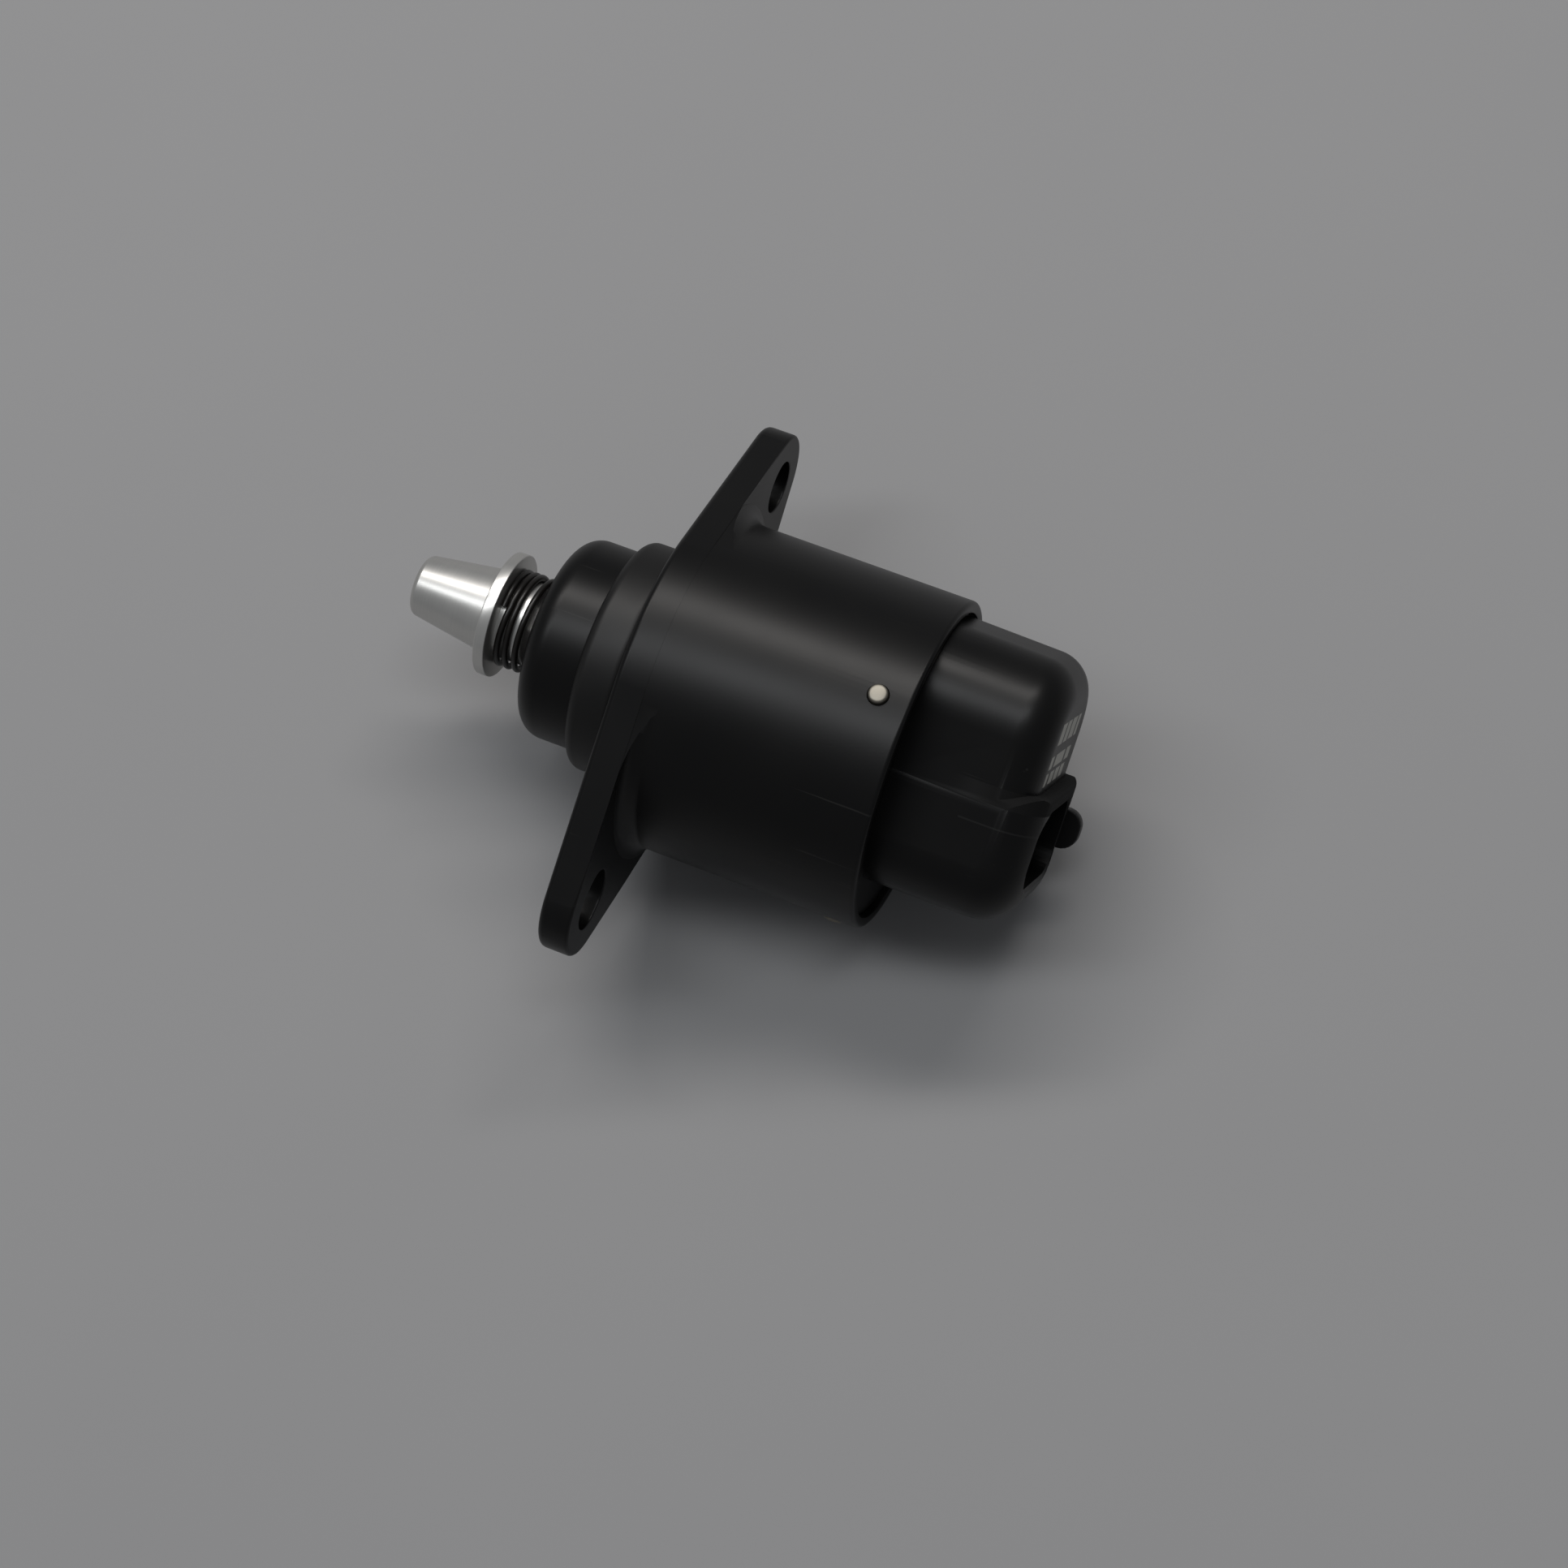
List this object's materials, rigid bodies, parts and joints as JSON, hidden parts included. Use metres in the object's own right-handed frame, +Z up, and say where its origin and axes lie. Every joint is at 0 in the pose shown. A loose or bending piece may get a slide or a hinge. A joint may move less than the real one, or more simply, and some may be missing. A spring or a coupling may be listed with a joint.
{
  "type": "idle air control valve",
  "caption": "Stepper idle air valve: a cone pintle on a sprung lead screw, a two-ear flanged tube with a sealed nose, and a rear cap with a plug socket.",
  "frame": {"origin": "centre of the flange's mounting face, on the valve axis", "axes": "+X back along the valve axis towards the connector, +Y along the flange ears, +Z up"},
  "size_m": [0.0639, 0.0533, 0.0315],
  "materials": {
    "black_plastic": "satin moulded black",
    "seal_rubber": "smooth black rubber",
    "turned_aluminium": "fine turned",
    "black_spring_wire": "black oiled wire",
    "bright_steel": "bright drawn",
    "nylon": "natural",
    "magnet": "sintered",
    "stator_steel": "plated sheet",
    "winding": "enamelled copper",
    "bronze": "sintered",
    "contact": "tinned"
  },
  "bodies": {
    "housing": {"flange_housing": "black_plastic", "rear_cap": "black_plastic", "seal_ring": "seal_rubber", "wiper_seal": "seal_rubber", "cap_seal": "seal_rubber", "return_spring": "black_spring_wire", "retaining_pins": "bright_steel", "bearing_outer_race": "bright_steel", "bearing_balls": "bright_steel", "bearing_clip": "bright_steel", "preload_washer": "bright_steel", "screw_guide": "nylon", "bobbin_front": "nylon", "bobbin_rear": "nylon", "stator_cup_front": "stator_steel", "stator_plate_front": "stator_steel", "stator_cup_rear": "stator_steel", "stator_plate_rear": "stator_steel", "coil_front": "winding", "coil_rear": "winding", "rear_bush": "bronze", "terminals": "contact"},
    "rotor": {"rotor_hub": "nylon", "rotor_magnet": "magnet", "bearing_inner_race": "bright_steel"},
    "plunger": {"pintle": "turned_aluminium", "lead_screw": "bright_steel"}
  },
  "joints": [
    {"name": "rotor_spin", "type": "hinge", "parent": "housing", "child": "rotor", "pos_m": [0, 0, 0], "axis": [1, 0, 0], "range_deg": [-540, 2340]},
    {"name": "pintle_slide", "type": "slide", "parent": "housing", "child": "plunger", "axis": [-1, 0, 0], "range_m": [-0.0015, 0.0065], "deforming": ["return_spring"]}
  ],
  "couplings": [
    {"joint": "rotor_spin", "follows": "pintle_slide", "rad_per_m": 6283.2}
  ]
}
